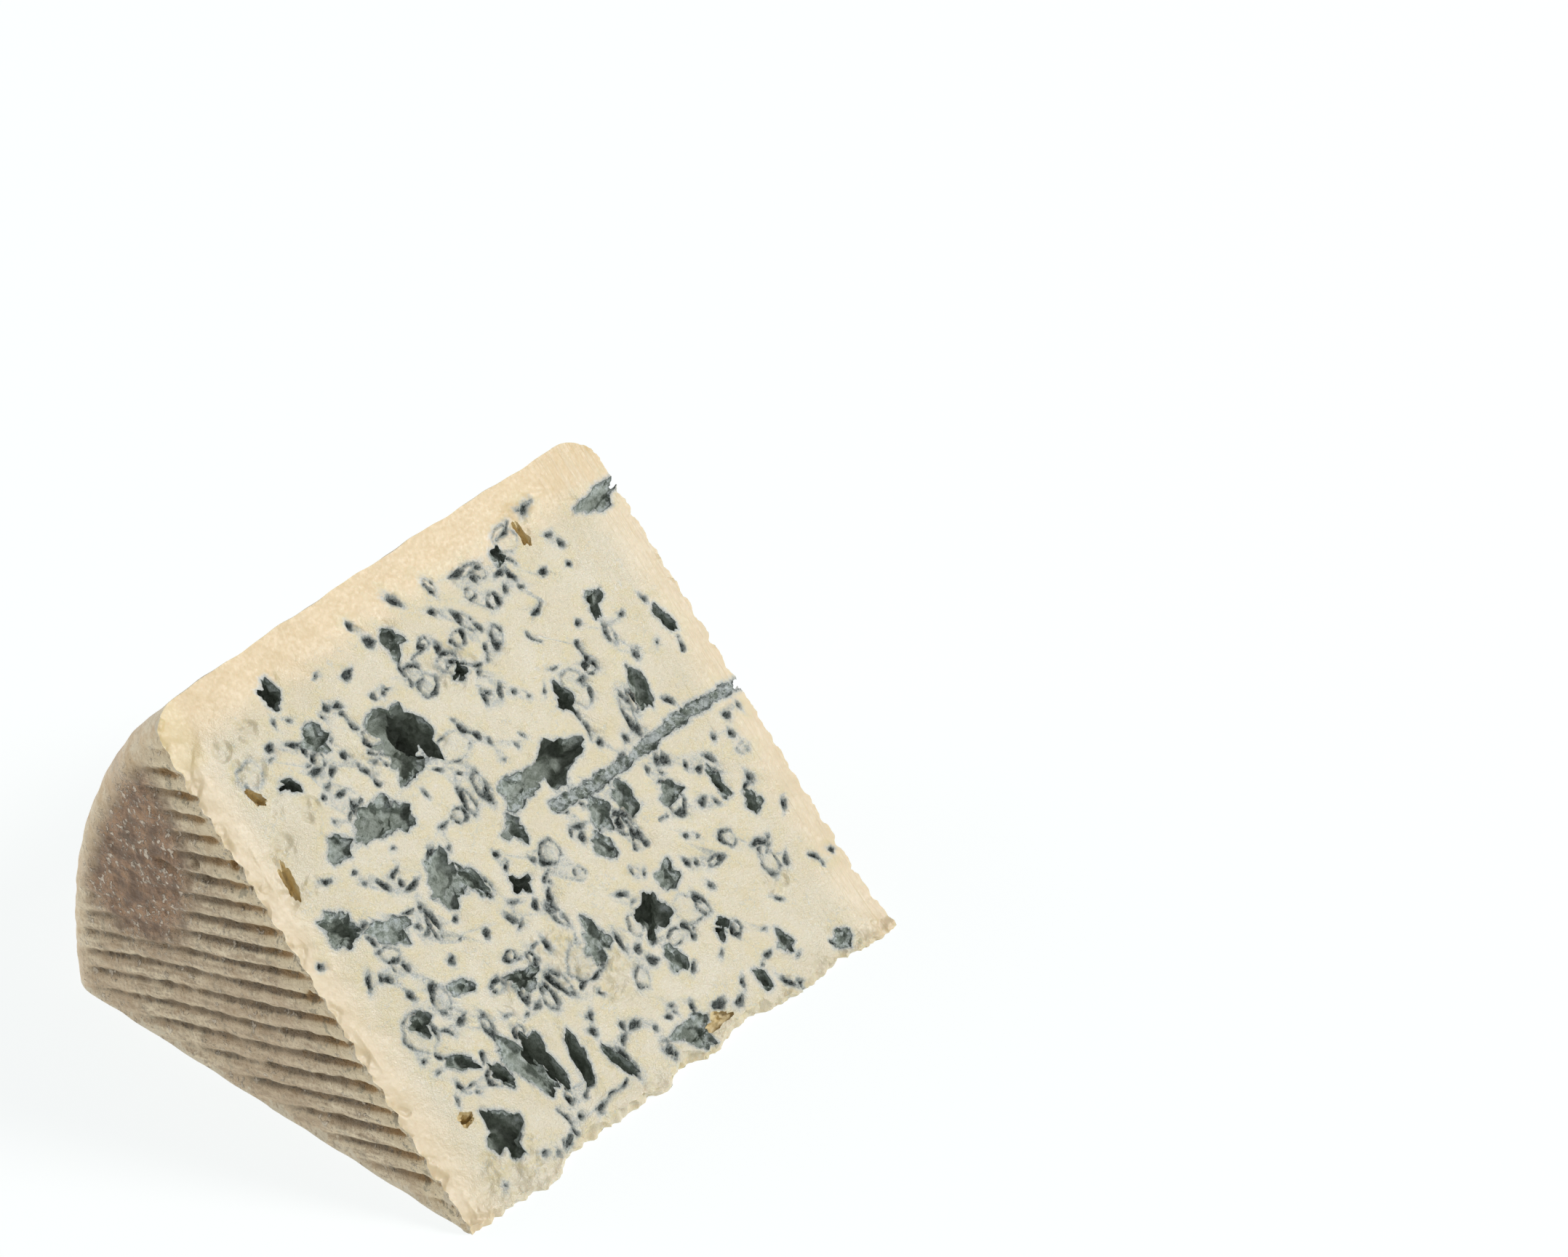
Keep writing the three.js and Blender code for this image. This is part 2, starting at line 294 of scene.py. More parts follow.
# The four finishes get their nodes further down, once the mesh is whole
rind = bpy.data.materials.new("pressed_rind")
paste = bpy.data.materials.new("ivory_paste")
mould = bpy.data.materials.new("blue_mould")
amber = bpy.data.materials.new("clean_crevice")

cheese = new_piece("cheese", make_wheel, rind, paste, mould, amber)
apply_modifier(cheese, "REMESH", mode="VOXEL", voxel_size=rind_step * mm, adaptivity=0.0)
press_grooves(cheese.data)


def make_lower_cut(made):
    """The table's half of the room, which the first stroke of the knife takes off."""
    side = 300
    bmesh.ops.create_cube(made, size=side)
    bmesh.ops.translate(made, verts=made.verts, vec=(0, 0, -side / 2))


cut_away(cheese, new_piece("lower_cut", make_lower_cut), paste)

# Marks in the upper cut. Curds that did not knit together left hollows between them, which the mould
# lines. Other curds show as lighter lumps with a thin line of mould round them, and the smallest gaps
# are spots and cracks. A mark's place is across the cut and up it from the tip, in millimetres.
#
# A hollow has its place, length, width, turn in degrees and depth.
openings = [
    (37, 71.5, 10, 9.5, 20, 5), (40.6, 69, 6, 9, 0, 8.5), (35.8, 66.8, 5, 4, 60, 4),
    (59.5, 53.8, 10.5, 7, 0, 6), (50.5, 53.5, 6.5, 4.2, 10, 2), (25, 62, 8, 5.5, 25, 3.5),
    (29.2, 60.4, 4.4, 4, -20, 3), (17, 61.5, 3.8, 4.2, 0, 2), (9.5, 50.8, 5.2, 5.4, 0, 4),
    (17.2, 46.4, 6.5, 4, -15, 1.6), (30.2, 48, 5.4, 7.5, 0, 3), (34.6, 45.5, 2, 6.5, 15, 3),
    (42, 40.4, 3.8, 4, 20, 5), (46.3, 48.5, 3.6, 3.8, 30, 3), (59.8, 24.4, 5.4, 7.8, -25, 6),
    (61.8, 43, 4, 5.5, -20, 2.5), (59, 38, 3.2, 5, 20, 2.2), (67.6, 42.4, 3, 4.6, 10, 3),
    (75.6, 39, 4, 3, 0, 2.2), (84.8, 35.8, 2, 5, 0, 3), (88.7, 29.6, 2.6, 4, -25, 3),
    (66.5, 28.2, 4, 3.8, 0, 2.4), (70, 16.1, 2.8, 2.8, 0, 4), (59.2, 16.3, 3, 4.4, 0, 2.2),
    (54.6, 5.2, 5.6, 5, 0, 3), (59.4, 4, 5.5, 2.6, 0, 2.2), (71.2, 5.2, 2, 4.4, 5, 2.6),
    (79, 8.1, 3, 3.6, -15, 1.6), (88.6, 3, 3.4, 2.8, 20, 1.6), (14.8, 10, 5.6, 9.2, 15, 5.6),
    (10.6, 15.2, 3.4, 2.4, -10, 3), (28.3, 16.4, 3.4, 12, 8, 8), (24.9, 16.6, 3.6, 10, 25, 3),
    (33.8, 12.4, 2.8, 9.4, -4, 7), (39.9, 8.1, 1.8, 7, 18, 4), (12.6, 31.6, 3, 3.6, 0, 4),
    (15, 22.8, 4.6, 2, -35, 3.5), (20, 17.8, 2, 5, 20, 4), (22.4, 32.6, 4.2, 2.4, 0, 1.8),
    (33, 28.2, 5, 3, -25, 4), (48, 26, 3.4, 5.6, 0, 2.2), (15.5, 73.8, 4, 2.2, -30, 5),
    (9.3, 75.2, 2, 5, 25, 3), (6.4, 61.4, 2.2, 7, -5, 3.5), (21.2, 87.3, 3.2, 5, -10, 6),
    (23.8, 78, 4.2, 4, -30, 2.6), (45.4, 84.4, 3.6, 4, -30, 4), (53.2, 74.2, 2.8, 2.6, 0, 4),
    (71.5, 86.7, 2.2, 3, -30, 3), (77.7, 87.4, 2, 5.4, 0, 3), (82.7, 72, 2.4, 5, -30, 4),
    (67.8, 61.4, 2.8, 6, 15, 5), (81.3, 56, 3.2, 6.6, -12, 3.5), (92.9, 63.2, 2, 5, 12, 3),
    (94.6, 86.1, 8, 3, 5, 2.6),
]

# A few hollows that no mould has reached
clean_openings = [(6.4, 61.4), (9.3, 75.2), (10.6, 15.2), (77.7, 87.4), (59.4, 4)]

# A curd has its place, width, length, turn in degrees and the strength of its outline.
outlined_curds = [
    (11.5, 30.5, 5.6, 6.6, 30, 0.7), (18, 33, 2.8, 5, -10, 0.8), (22.7, 25.5, 1.5, 3.4, 0, 1),
    (24, 43, 1.3, 4.4, 0, 0.9), (33, 32.2, 1.8, 1.8, 0, 0.9), (36, 30, 1.3, 2.2, 0, 0.9),
    (28.2, 29.4, 2.6, 1.8, 0, 0.9), (31.5, 26.2, 1.4, 2.4, 0, 0.9), (35, 23.2, 1.9, 4.4, 0, 0.9),
    (38.5, 24, 1.8, 5, 15, 1), (44, 24.6, 6.6, 6, 0, 0.6), (44.6, 33, 1.6, 4.2, 20, 0.9),
    (49.5, 42.2, 3.6, 4.2, -20, 0.9), (38.8, 55.3, 2.8, 2.4, 0, 0.9), (41.7, 56, 1.8, 4, 0, 0.9),
    (45.2, 57.6, 2, 4.6, 0, 1), (45.6, 78, 2.8, 3.6, 20, 0.7), (50.3, 81.3, 1.8, 1.8, 0, 0.9),
    (56.2, 79, 2.8, 2.4, 30, 0.9), (59.4, 80.4, 1.8, 4.2, 30, 0.8), (63, 76, 2, 3.4, -25, 0.9),
    (65.8, 81, 2.2, 2.4, -20, 1), (64.5, 87.5, 3.8, 1.4, 0, 0.9), (62.8, 84, 1.8, 2, 0, 0.6),
    (66.6, 86, 1.8, 2.2, 20, 0.6), (57, 88.6, 1.3, 2.6, 20, 0.6), (70.6, 61.8, 4.4, 7, 15, 0.5),
    (75, 63.2, 1.9, 1.9, 0, 1), (76.8, 53.8, 1.8, 6, -5, 0.9), (78.6, 54.8, 1.2, 3.4, 0, 0.9),
    (82, 66.2, 1.4, 3.8, 0, 0.6), (75.4, 37.6, 3.2, 5, -10, 0.9), (69, 20.7, 2, 3.2, 10, 1),
    (72.3, 14.6, 1.8, 2.2, 0, 1), (75.8, 25.6, 2.4, 1.5, 0, 1), (80.4, 27.4, 2.4, 3.2, 20, 0.8),
    (85, 20.4, 3.2, 5, 0, 0.6), (85.4, 22.6, 2.4, 1.6, 0, 0.8), (51.8, 17, 2.4, 3.8, -20, 0.5),
    (48.5, 5.2, 1.8, 3.4, 0, 0.6), (52.2, 36.6, 2.2, 2.2, 0, 0.4), (92.6, 38.2, 2.6, 1.8, 0, 0.3),
    (40.6, 7.6, 1.5, 5.4, 12, 0.8), (19, 18, 3, 3.2, 0, 0.8), (46.8, 75.4, 4, 3.4, 0, 0.8),
    (52.2, 76.6, 3.8, 3.6, -20, 0.7), (32.8, 73.2, 3, 3.4, 0, 0.7), (33, 69.6, 2.4, 3.6, 20, 0.6),
    (22.4, 74.8, 2, 2.6, 0, 0.7), (44.6, 64.8, 6, 5, 0, 0.3), (64.4, 39.2, 3.4, 4.4, 20, 0.9),
    (35.8, 44, 1.8, 4.2, 20, 0.8), (14.4, 43.4, 3.6, 2.4, -40, 0.7), (61.6, 19.2, 3.4, 2.6, 10, 0.5),
    (28.4, 8.8, 1.2, 2.2, 0, 0.8), (56, 24.6, 2.8, 3.6, 0, 0.6), (10.5, 78.5, 4.4, 4.6, 0, 0.15),
    (66.4, 21.6, 5, 5.4, 0, 0.25), (74, 88.4, 5, 4.4, 30, 0.3), (27, 21.6, 1.8, 2, 0, 0.8),
]

# A spot has its place, width and length.
spots = [
    (35, 83.7, 2, 1.5), (41.7, 86.2, 1.4, 2.4), (49.7, 89.6, 1.2, 2.6), (40.2, 90, 1, 1.2),
    (16, 80.5, 1.2, 1.5), (28.5, 81, 1.1, 1.4), (37, 78.5, 1, 1), (26.7, 73.3, 1.2, 1.2),
    (23.4, 72.2, 1.5, 1.2), (22.5, 68.5, 1.7, 1), (19.5, 69.4, 0.9, 0.7), (11.8, 58.3, 1.6, 0.8),
    (17, 57, 0.7, 0.8), (17.5, 54.7, 0.6, 0.7), (20.3, 52.8, 1, 2.4), (23.2, 51.5, 0.8, 1.2),
    (3, 47.8, 1, 1.1), (8.7, 41.6, 0.9, 2.4), (11, 41, 1, 1.2), (28, 42, 0.9, 1),
    (35.5, 45.5, 0.7, 1), (36.8, 37, 1.1, 2.2), (31.5, 37.4, 1.2, 1.6), (23.5, 37, 1, 1.6),
    (40.8, 46.8, 1.1, 1), (45.8, 11.6, 2.6, 1.2), (23.6, 2.9, 2.4, 1.2), (32, 4.3, 1.6, 0.9),
    (54.8, 84.8, 1.2, 1.3), (69.1, 81.5, 0.9, 1.2), (77.2, 80.6, 1.3, 1.5), (83.2, 83, 1, 1.5),
    (82.4, 79.4, 0.9, 0.8), (80.5, 91, 2.2, 1), (77.7, 70.5, 1.1, 1.1), (54.7, 68.8, 0.8, 2.4),
    (57.8, 68.3, 0.9, 2.2), (56.3, 72.6, 0.8, 1), (84.2, 61, 0.8, 1.8), (86, 67.8, 1, 0.7),
    (91.4, 68, 0.7, 1.4), (56.4, 41.2, 1.2, 1.9), (78, 44, 1.6, 2.2), (81, 41.2, 0.7, 1.2),
    (88.6, 42.4, 0.8, 1), (92.1, 41.2, 0.9, 1.6), (93.2, 44.2, 1.2, 1.5), (96.3, 44.4, 0.5, 1),
    (93.6, 26.6, 0.9, 1.9), (88, 18.8, 0.8, 2), (96.8, 15.7, 0.9, 0.9), (71, 28, 1, 1.5),
    (72.6, 27, 0.8, 1), (72.6, 22.6, 0.7, 1.3), (73.5, 31.7, 0.9, 0.7), (75.4, 30.5, 0.5, 0.5),
    (61.5, 6.2, 2.4, 1.8), (74.6, 8, 1.5, 1), (74.8, 2.4, 0.9, 2.6), (76.7, 1, 0.9, 1.5),
    (69, 52.3, 1, 1.5), (74, 44.2, 0.8, 1), (57.7, 20.8, 0.8, 1), (54, 21.2, 1.2, 1.6),
    (55.2, 18.4, 1.3, 2.4), (52, 9.4, 1, 1), (67.4, 45.3, 1.2, 0.8), (82.8, 39.4, 1.2, 1.4),
    (85.3, 37.6, 1.6, 0.8), (51.8, 24, 0.8, 3), (48.7, 9.2, 0.7, 0.9), (28, 5, 0.8, 1),
    (13.1, 46.6, 0.8, 2.2), (42, 36.6, 1.2, 1.6), (38.8, 39, 1.6, 0.6), (25.3, 56.8, 0.5, 0.6),
    (37.6, 66.2, 1.6, 0.8), (60, 66.9, 0.9, 0.7), (51.1, 62.4, 0.5, 1.1), (72.2, 61.8, 0.4, 0.8),
]

# A crack runs from one place to another, and has a width.
cracks = [
    (28, 70, 29.6, 66.4, 0.6), (30.1, 79, 31.5, 75.6, 0.6), (47.2, 68.2, 49.8, 63.6, 0.8),
    (71, 75.6, 73.6, 76.6, 0.8), (68.4, 58.4, 68.1, 53.6, 0.5), (93.5, 59.3, 92.4, 57.2, 0.6),
    (92.4, 17.4, 94, 14.7, 0.6), (63.8, 20, 64.6, 17.7, 1), (65, 39, 66, 34.4, 1),
    (31, 4.4, 39, 5.2, 0.35), (75.6, 68, 75.2, 64.6, 0.6), (58.8, 73.6, 60.4, 75.6, 0.5),
    (60.3, 80, 60.9, 77.8, 0.6), (44.6, 83, 44, 76.6, 0.35), (47, 79.9, 50, 81.2, 0.35),
    (8.6, 77.6, 9.8, 74.6, 0.5), (12, 26.4, 13.8, 24.4, 0.5), (14, 30, 16.8, 27, 0.4),
    (18.2, 21, 19.3, 22, 0.7), (41, 21.4, 47, 22.2, 0.7), (64.2, 34.6, 66, 43, 0.5),
    (47.5, 40.2, 46, 38.6, 0.5), (68, 73.8, 69.4, 71.2, 0.3), (33, 8, 31, 7.4, 0.9),
    (25.4, 8, 25.8, 3, 0.4), (53.4, 75.4, 57.6, 73.6, 0.5), (72.4, 85.4, 73.4, 84, 0.4),
    (72.8, 88.8, 76.4, 90.4, 0.6), (79, 91.4, 82.6, 91.2, 0.3), (31, 71.6, 33.6, 69.2, 0.4),
    (81.6, 60.2, 80.8, 57.6, 0.4), (21.2, 64.2, 25, 66.2, 0.4), (28.6, 62.8, 30.8, 59.2, 0.5),
    (71, 36, 72.4, 36.2, 0.5), (87.6, 32, 88.6, 31, 0.4), (86.4, 3.6, 88, 2.4, 0.4),
]
cut_wave = 0.3
tip_thickness = 1.6
blunt_reach = 5
chip_turn = math.radians(49)
chip_place = (3.3, 84.8)
chip_depth = 0.14
chip_top = (6.5, 88.5)
chip_slope = 0.45
speck_count = 130
speck_seed = 11
far_away = 9.0
outline_width = 0.6
scratch_depth = 0.09
scratch_place = 2.3


def ragged(angle, number):
    """An outline's own unevenness round its middle, between about -1 and 1."""
    return (
        0.45 * np.sin(2 * angle + 1.7 * number)
        + 0.35 * np.sin(3 * angle + 2.9 * number)
        + 0.25 * np.sin(5 * angle + 4.3 * number)
        + 0.2 * np.sin(8 * angle + 0.7 * number)
    )


def near_to(across, from_tip, place, tip, reach):
    """The numbers of the places within reach of a mark's middle."""
    return np.nonzero((np.abs(across - place) < reach) & (np.abs(from_tip - tip) < reach))[0]


def around(across, from_tip, place, tip, width, length, turn, reach):
    """The numbers of the places near a mark, with their polar coordinates about its middle, in which
    its outline has a radius of 1."""
    at = near_to(across, from_tip, place, tip, reach)
    a = math.radians(turn)
    dx = across[at] - place
    ds = from_tip[at] - tip
    u = (dx * math.cos(a) + ds * math.sin(a)) / (width / 2)
    v = (-dx * math.sin(a) + ds * math.cos(a)) / (length / 2)
    return at, np.hypot(u, v), np.arctan2(v, u)


def mark_distance(across, from_tip):
    """Millimetres to the edge of the nearest spot, crack or curd outline, below 0 inside it. The
    second result is 1 on the pale curds."""
    nearest = np.full(len(across), far_away)
    curd = np.zeros(len(across))
    for number, (place, tip, width, length, turn, strength) in enumerate(outlined_curds):
        reach = max(width, length) + 2
        at, radius, angle = around(across, from_tip, place, tip, width, length, turn, reach)
        radius = radius / (1 + 0.16 * ragged(angle, number))
        size = min(width, length) / 2
        crescent = np.maximum(0, np.cos(angle - 2.4 * number)) ** 2
        uneven = strength - 0.75 + 0.7 * ragged(angle + 1, number + 0.5)
        line = outline_width / 2 * (uneven + 1.5 * strength * crescent)
        nearest[at] = np.minimum(nearest[at], np.abs(radius - 1) * size - line)
        curd[at] = np.maximum(curd[at], smooth_step(1.1 - radius, 0, 0.35) * min(1, 0.4 + strength))
    for number, (place, tip, width, length) in enumerate(spots):
        turn = 30 * math.sin(number)
        reach = max(width, length) + 2
        at, radius, angle = around(across, from_tip, place, tip, width, length, turn, reach)
        radius = radius / (1 + 0.3 * ragged(angle, number))
        nearest[at] = np.minimum(nearest[at], (radius - 1) * min(width, length) / 2)
    for number, (place, tip, size) in enumerate(specks):
        turn = 50 * number
        at, radius, angle = around(across, from_tip, place, tip, size, 2 * size, turn, size + 2)
        radius = radius / (1 + 0.4 * ragged(angle, number))
        nearest[at] = np.minimum(nearest[at], (radius - 1) * size / 2)
    for number, (x0, s0, x1, s1, width) in enumerate(cracks):
        length = math.hypot(x1 - x0, s1 - s0)
        at = near_to(across, from_tip, (x0 + x1) / 2, (s0 + s1) / 2, length)
        dx = across[at] - x0
        ds = from_tip[at] - s0
        along = (dx * (x1 - x0) + ds * (s1 - s0)) / length
        aside = (dx * (s1 - s0) - ds * (x1 - x0)) / length + 0.3 * np.sin(1.3 * along + number)
        past = np.maximum(0, np.maximum(-along, along - length))
        thick = width / 2 * (0.75 + 0.5 * np.sin(2.1 * along + 2 * number))
        nearest[at] = np.minimum(nearest[at], np.hypot(aside, past) - thick)
    return nearest, curd


def scatter_specks(count, seed):
    """The smallest gaps, which lie round the hollows and keep clear of the plain band under the rind."""
    random = np.random.default_rng(seed)
    rows = []
    while len(rows) < count:
        place = random.uniform(8, wheel_height - 6)
        tip = random.uniform(1, 88)
        apart = hollow_distance(np.array([place]), np.array([tip]))[0]
        if 0.8 < apart < random.uniform(1, 9):
            rows.append((place, tip, 0.3 + 0.9 * random.uniform() ** 2))
    return rows


def hollow_distance(across, from_tip):
    """Millimetres to the nearest hollow's rough outline."""
    nearest = np.full(len(across), far_away)
    for place, tip, length, width, turn, depth in openings:
        reach = max(length, width) + 4
        at, radius, angle = around(across, from_tip, place, tip, length, width, turn, reach)
        nearest[at] = np.minimum(nearest[at], (radius - 0.9) * min(length, width) / 2)
    return nearest


def broken_slice(across, from_tip):
    """How deep the thin slice broken off beside the rim reaches at a place on the upper cut."""
    away_x = across - chip_place[0]
    away_s = from_tip - chip_place[1]
    beyond = -math.sin(chip_turn) * away_x + math.cos(chip_turn) * away_s
    below = (chip_top[0] - across) * chip_slope + chip_top[1] - from_tip
    inside = np.minimum(beyond, 0.2 * below) + 0.12 * unevenness(4 * across, 5 * from_tip)
    return chip_depth * smooth_step(inside, -0.1, 0.4)


def upper_relief(across, from_tip):
    """How far the upper cut stands off its plane: wavy from the knife, and blunt at the tip."""
    wave = cut_wave * (0.4 * unevenness(across - wheel_height / 2, from_tip) - 1)
    off_scratch = across - scratch_place - 0.5 * np.sin(0.11 * from_tip) - 0.012 * from_tip
    broken = smooth_step(unevenness(0.8 * from_tip, 3 + 0.4 * from_tip), -0.2, 0.5)
    wave = wave + scratch_depth * broken * np.exp(-(off_scratch / 0.3) ** 2)
    return wave + tip_thickness * np.exp(-np.maximum(0, from_tip) / blunt_reach)


# Places where the cut crumbled, with their reach
crumbly_places = [
    (10.8, 79, 3.2), (8.6, 84, 1.6), (14, 84.6, 2), (8.2, 66, 2.4), (9.4, 59, 1.6), (16, 69, 2),
    (52.6, 76, 4), (64.5, 40.5, 3), (30, 27.5, 3.5), (12.5, 5, 5), (14.8, 9, 4), (33, 71.5, 3),
    (47, 20.5, 5), (84, 17, 2.5), (41, 27, 5), (60, 3.5, 3.5),
]
cut_step = 0.3
body_triangles = 118000
cut_margin = 6
cut_top = 100
mark_depth = 0.7
curd_height = 0.15
crumble_height = 0.5
crumble_scale = 0.36
crumble_seed = 17
first_cut_height = 15


def make_upper_cut(made):
    """The box above the upper cut. Its underside is a fine grid, which gets the cut's relief."""
    width = wheel_height + 2 * cut_margin
    length = cut_top + 2 * cut_margin
    bmesh.ops.create_grid(
        made, x_segments=round(width / cut_step), y_segments=round(length / cut_step), size=1
    )
    rim = [edge for edge in made.edges if edge.is_boundary]
    walls = bmesh.ops.extrude_edge_only(made, edges=rim)["geom"]
    top = [item for item in walls if isinstance(item, bmesh.types.BMVert)]
    box_height = 30
    bmesh.ops.translate(made, verts=top, vec=(0, 0, box_height))
    bmesh.ops.holes_fill(made, edges=[item for item in walls if isinstance(item, bmesh.types.BMEdge)])
    turn = Matrix((Vector((1, 0, 0)), along_slope, out_of_cut)).transposed()
    for vert in made.verts:
        x, y, z = vert.co
        place = x * width / 2 + wheel_height / 2
        tip = (y + 1) * length / 2 - 2 * cut_margin
        vert.co = turn @ Vector((place, tip, z))


def crumbly(across, from_tip):
    """Where the cut broke into loose curds instead of being cut clean, from 0 to 1."""
    share = smooth_step(3.5 + 1.5 * unevenness(2 * across, across) - from_tip, 0, 3)
    share = np.maximum(share, 0.7 * smooth_step(1.3 + 2 * unevenness(2 * from_tip, 5) - across, 0, 1.2))
    uneven = 0.25 * unevenness(2 * across, 2 * from_tip)
    for place, tip, reach in crumbly_places:
        apart = np.hypot(across - place, from_tip - tip) / reach
        share = np.maximum(share, smooth_step(1.2 - apart - uneven, 0, 0.4))
    return share


def carve_upper_cut(mesh):
    """Gives the underside of the box its waves, pits, pale curds and crumbs."""
    point = places(mesh)
    across, from_tip, out = on_cut(point)
    lower = out < first_cut_height
    nearest, curd = mark_distance(across, from_tip)
    pit = mark_depth * smooth_step(-nearest, -0.25, 0.45)
    rough = smooth_step(2.2 - hollow_distance(across, from_tip), 0, 1.6) * smooth_step(
        unevenness(1.9 * across, 2.3 * from_tip), -0.1, 0.4
    )
    rough = np.maximum(0.5 * rough, crumbly(across, from_tip))
    crumbs = np.zeros(len(across))
    broken = np.nonzero((rough > 0.02) & lower)[0]
    crumble = swells(point[broken], crumble_scale, 4, crumble_seed)
    crumbs[broken] = rough[broken] * (crumble_height * crumble - 0.1)
    height = upper_relief(across, from_tip) - pit + curd_height * curd + crumbs
    height = height - broken_slice(across, from_tip)
    out = np.where(lower, height, out)
    along = from_tip * along_slope.y + out * out_of_cut.y
    up = from_tip * along_slope.z + out * out_of_cut.z
    put_places(mesh, np.stack([across, along, up], 1))


specks = scatter_specks(speck_count, speck_seed)
upper_cut = new_piece("upper_cut", make_upper_cut)
carve_upper_cut(upper_cut.data)
cut_away(cheese, upper_cut, paste)

# The tip: where the knife strokes met, the paste wore back and crumbled. Each row has a place across
# the cut and how far the tip stands back there.
tip_wear = [
    (-6, 0.5), (9, 0.1), (17, -1.2), (24, 1.5), (40, 0.8), (45, 0.0), (49, 2.0), (56, 0.4), (64, 2.0),
    (75, -0.4), (87, 0.0), (94, -1.4), (106, -0.4),
]
tip_tear = 0.9
tip_tear_scale = 0.4
tip_cut_reach = 30
tip_cut_height = 6


def tip_at(across):
    """How far the worn tip stands back from the wheel's axis."""
    for (x0, back0), (x1, back1) in zip(tip_wear, tip_wear[1:]):
        if across <= x1:
            share = (across - x0) / (x1 - x0)
            return back0 + (back1 - back0) * share * share * (3 - 2 * share)
    return tip_wear[-1][1]


def make_tip_cut(made):
    """The rest of the wheel, in front of the tip. Its back is a grid, torn like the tip."""
    bmesh.ops.create_grid(made, x_segments=240, y_segments=24, size=1)
    grown = bmesh.ops.extrude_face_region(made, geom=made.faces[:])
    lifted = {item for item in grown["geom"] if isinstance(item, bmesh.types.BMVert)}
    for vert in made.verts:
        across = vert.co.x * (wheel_height / 2 + 5) + wheel_height / 2
        z = vert.co.y * tip_cut_height
        tear_place = Vector((across * tip_tear_scale, z * 0.5, 3.0))
        torn = tip_tear * noise.fractal(tear_place, crag_falloff, crag_step, 5)
        back = tip_at(across) + torn - 0.1
        vert.co = Vector((across, -tip_cut_reach if vert in lifted else back, z))


cut_away(cheese, new_piece("tip_cut", make_tip_cut), paste)


def make_triangles(mesh):
    """Splits the faces into triangles. The slivers are split from their middles, as two that share two
    edges would get the same diagonal."""
    made = bmesh.new()
    made.from_mesh(mesh)
    slivers = [
        face for face in made.faces
        if 4 < len(face.verts) < 13
        or len(face.verts) == 4 and min(len(vert.link_faces) for vert in face.verts) < 3
    ]
    bmesh.ops.poke(made, faces=slivers)
    bmesh.ops.triangulate(made, faces=made.faces)
    made.to_mesh(mesh)
    made.free()


make_triangles(cheese.data)
apply_modifier(cheese, "DECIMATE", ratio=body_triangles / len(cheese.data.polygons))


def lumped(point, number):
    """The factor that pushes a ball's surface in and out into a lumpy hollow."""
    x, y, z = point
    return (
        1
        + 0.14 * math.sin(3.1 * x + 2.3 * y + 1.7 * number)
        + 0.12 * math.sin(4.7 * y - 3.9 * z + 2.9 * number)
        + 0.08 * math.sin(6.3 * x + 5.1 * z + 4.1 * number)
    )


def is_clean(row):
    return row[:2] in clean_openings


def add_hollow(made, row, number, upper):
    """A craggy ball, set in the upper or the lower cut. A deep hollow keeps more of its ball inside."""
    across, from_tip, length, width, turn, depth = row
    slope = along_slope if upper else Vector((0, 1, 0))
    outward = out_of_cut if upper else Vector((0, 0, -1))
    largest = max(length, width)
    ball = bmesh.ops.create_icosphere(made, subdivisions=4 if largest > 4.6 else 3, radius=1)["verts"]
    deep = depth > 4.5 or largest < 3
    wider = 0.9 if is_clean(row) else 1.08 if deep else 1.16
    size = Vector((length / 2 * wider, width / 2 * wider, depth * (0.65 if deep else 0.6)))
    spin = Matrix.Rotation(math.radians(turn), 3, "Z")
    surface = float(upper_relief(across, from_tip)) if upper else 0
    for vert in ball:
        direction = vert.co.copy()
        local = Vector(a * b for a, b in zip(direction * lumped(direction, number), size))
        crag_place = local * 0.6 + Vector((number * 7.3, 0, 0))
        crag = noise.fractal(crag_place, crag_falloff, crag_step, 4)
        local *= 1 + 0.6 * crag * min(1.3, 4 / largest)
        local = spin @ local
        vert.co = (
            Vector((across + local.x, 0, 0))
            + slope * (from_tip + local.y)
            + outward * (surface - depth * (0.3 if deep else 0.05) + local.z)
        )


def make_hollows(made, rows, upper=True):
    for number, row in rows:
        add_hollow(made, row, number, upper)


# Hollows that share a place are cut one after another, so no round's cutter has two that overlap.
rounds = []
for number, row in enumerate(openings):
    for batch in rounds:
        if all(
            math.hypot(row[0] - other[0], row[1] - other[1])
            > 0.75 * (max(row[2:4]) + max(other[2:4])) + 0.5
            for _, other in batch
        ):
            batch.append((number, row))
            break
    else:
        rounds.append([(number, row)])

for batch in rounds:
    for lining in (mould, amber):
        rows = [(number, row) for number, row in batch if is_clean(row) == (lining is amber)]
        if rows:
            cut_away(cheese, new_piece("hollows", partial(make_hollows, rows=rows)), lining)


def draws(state):
    """A seeded draw of numbers from 0 to 1."""
    while True:
        state = (state * 1664525 + 1013904223) % 2 ** 32
        yield state / 2 ** 32


# The lower cut has the same kind of openings, scattered clear of its middle
lower_seed = 47
lower_count = 12
lower_margin = 9
lower_gap = 9
lower_clear = 14
random = draws(lower_seed)
lower_openings = []
while len(lower_openings) < lower_count:
    place = lower_margin + next(random) * (wheel_height - 2 * lower_margin)
    tip = lower_margin + next(random) * (top_radius - 2 * lower_margin)
    width = 1.8 + 3.2 * next(random) ** 2
    length = width * (1.2 + next(random))
    turn = next(random) * 180
    apart = all(math.hypot(other[0] - place, other[1] - tip) > lower_gap for other in lower_openings)
    if apart and math.hypot(place - wheel_height / 2, tip - top_radius / 2) > lower_clear:
        lower_openings.append((place, tip, length, width, turn, 0.9 * width))

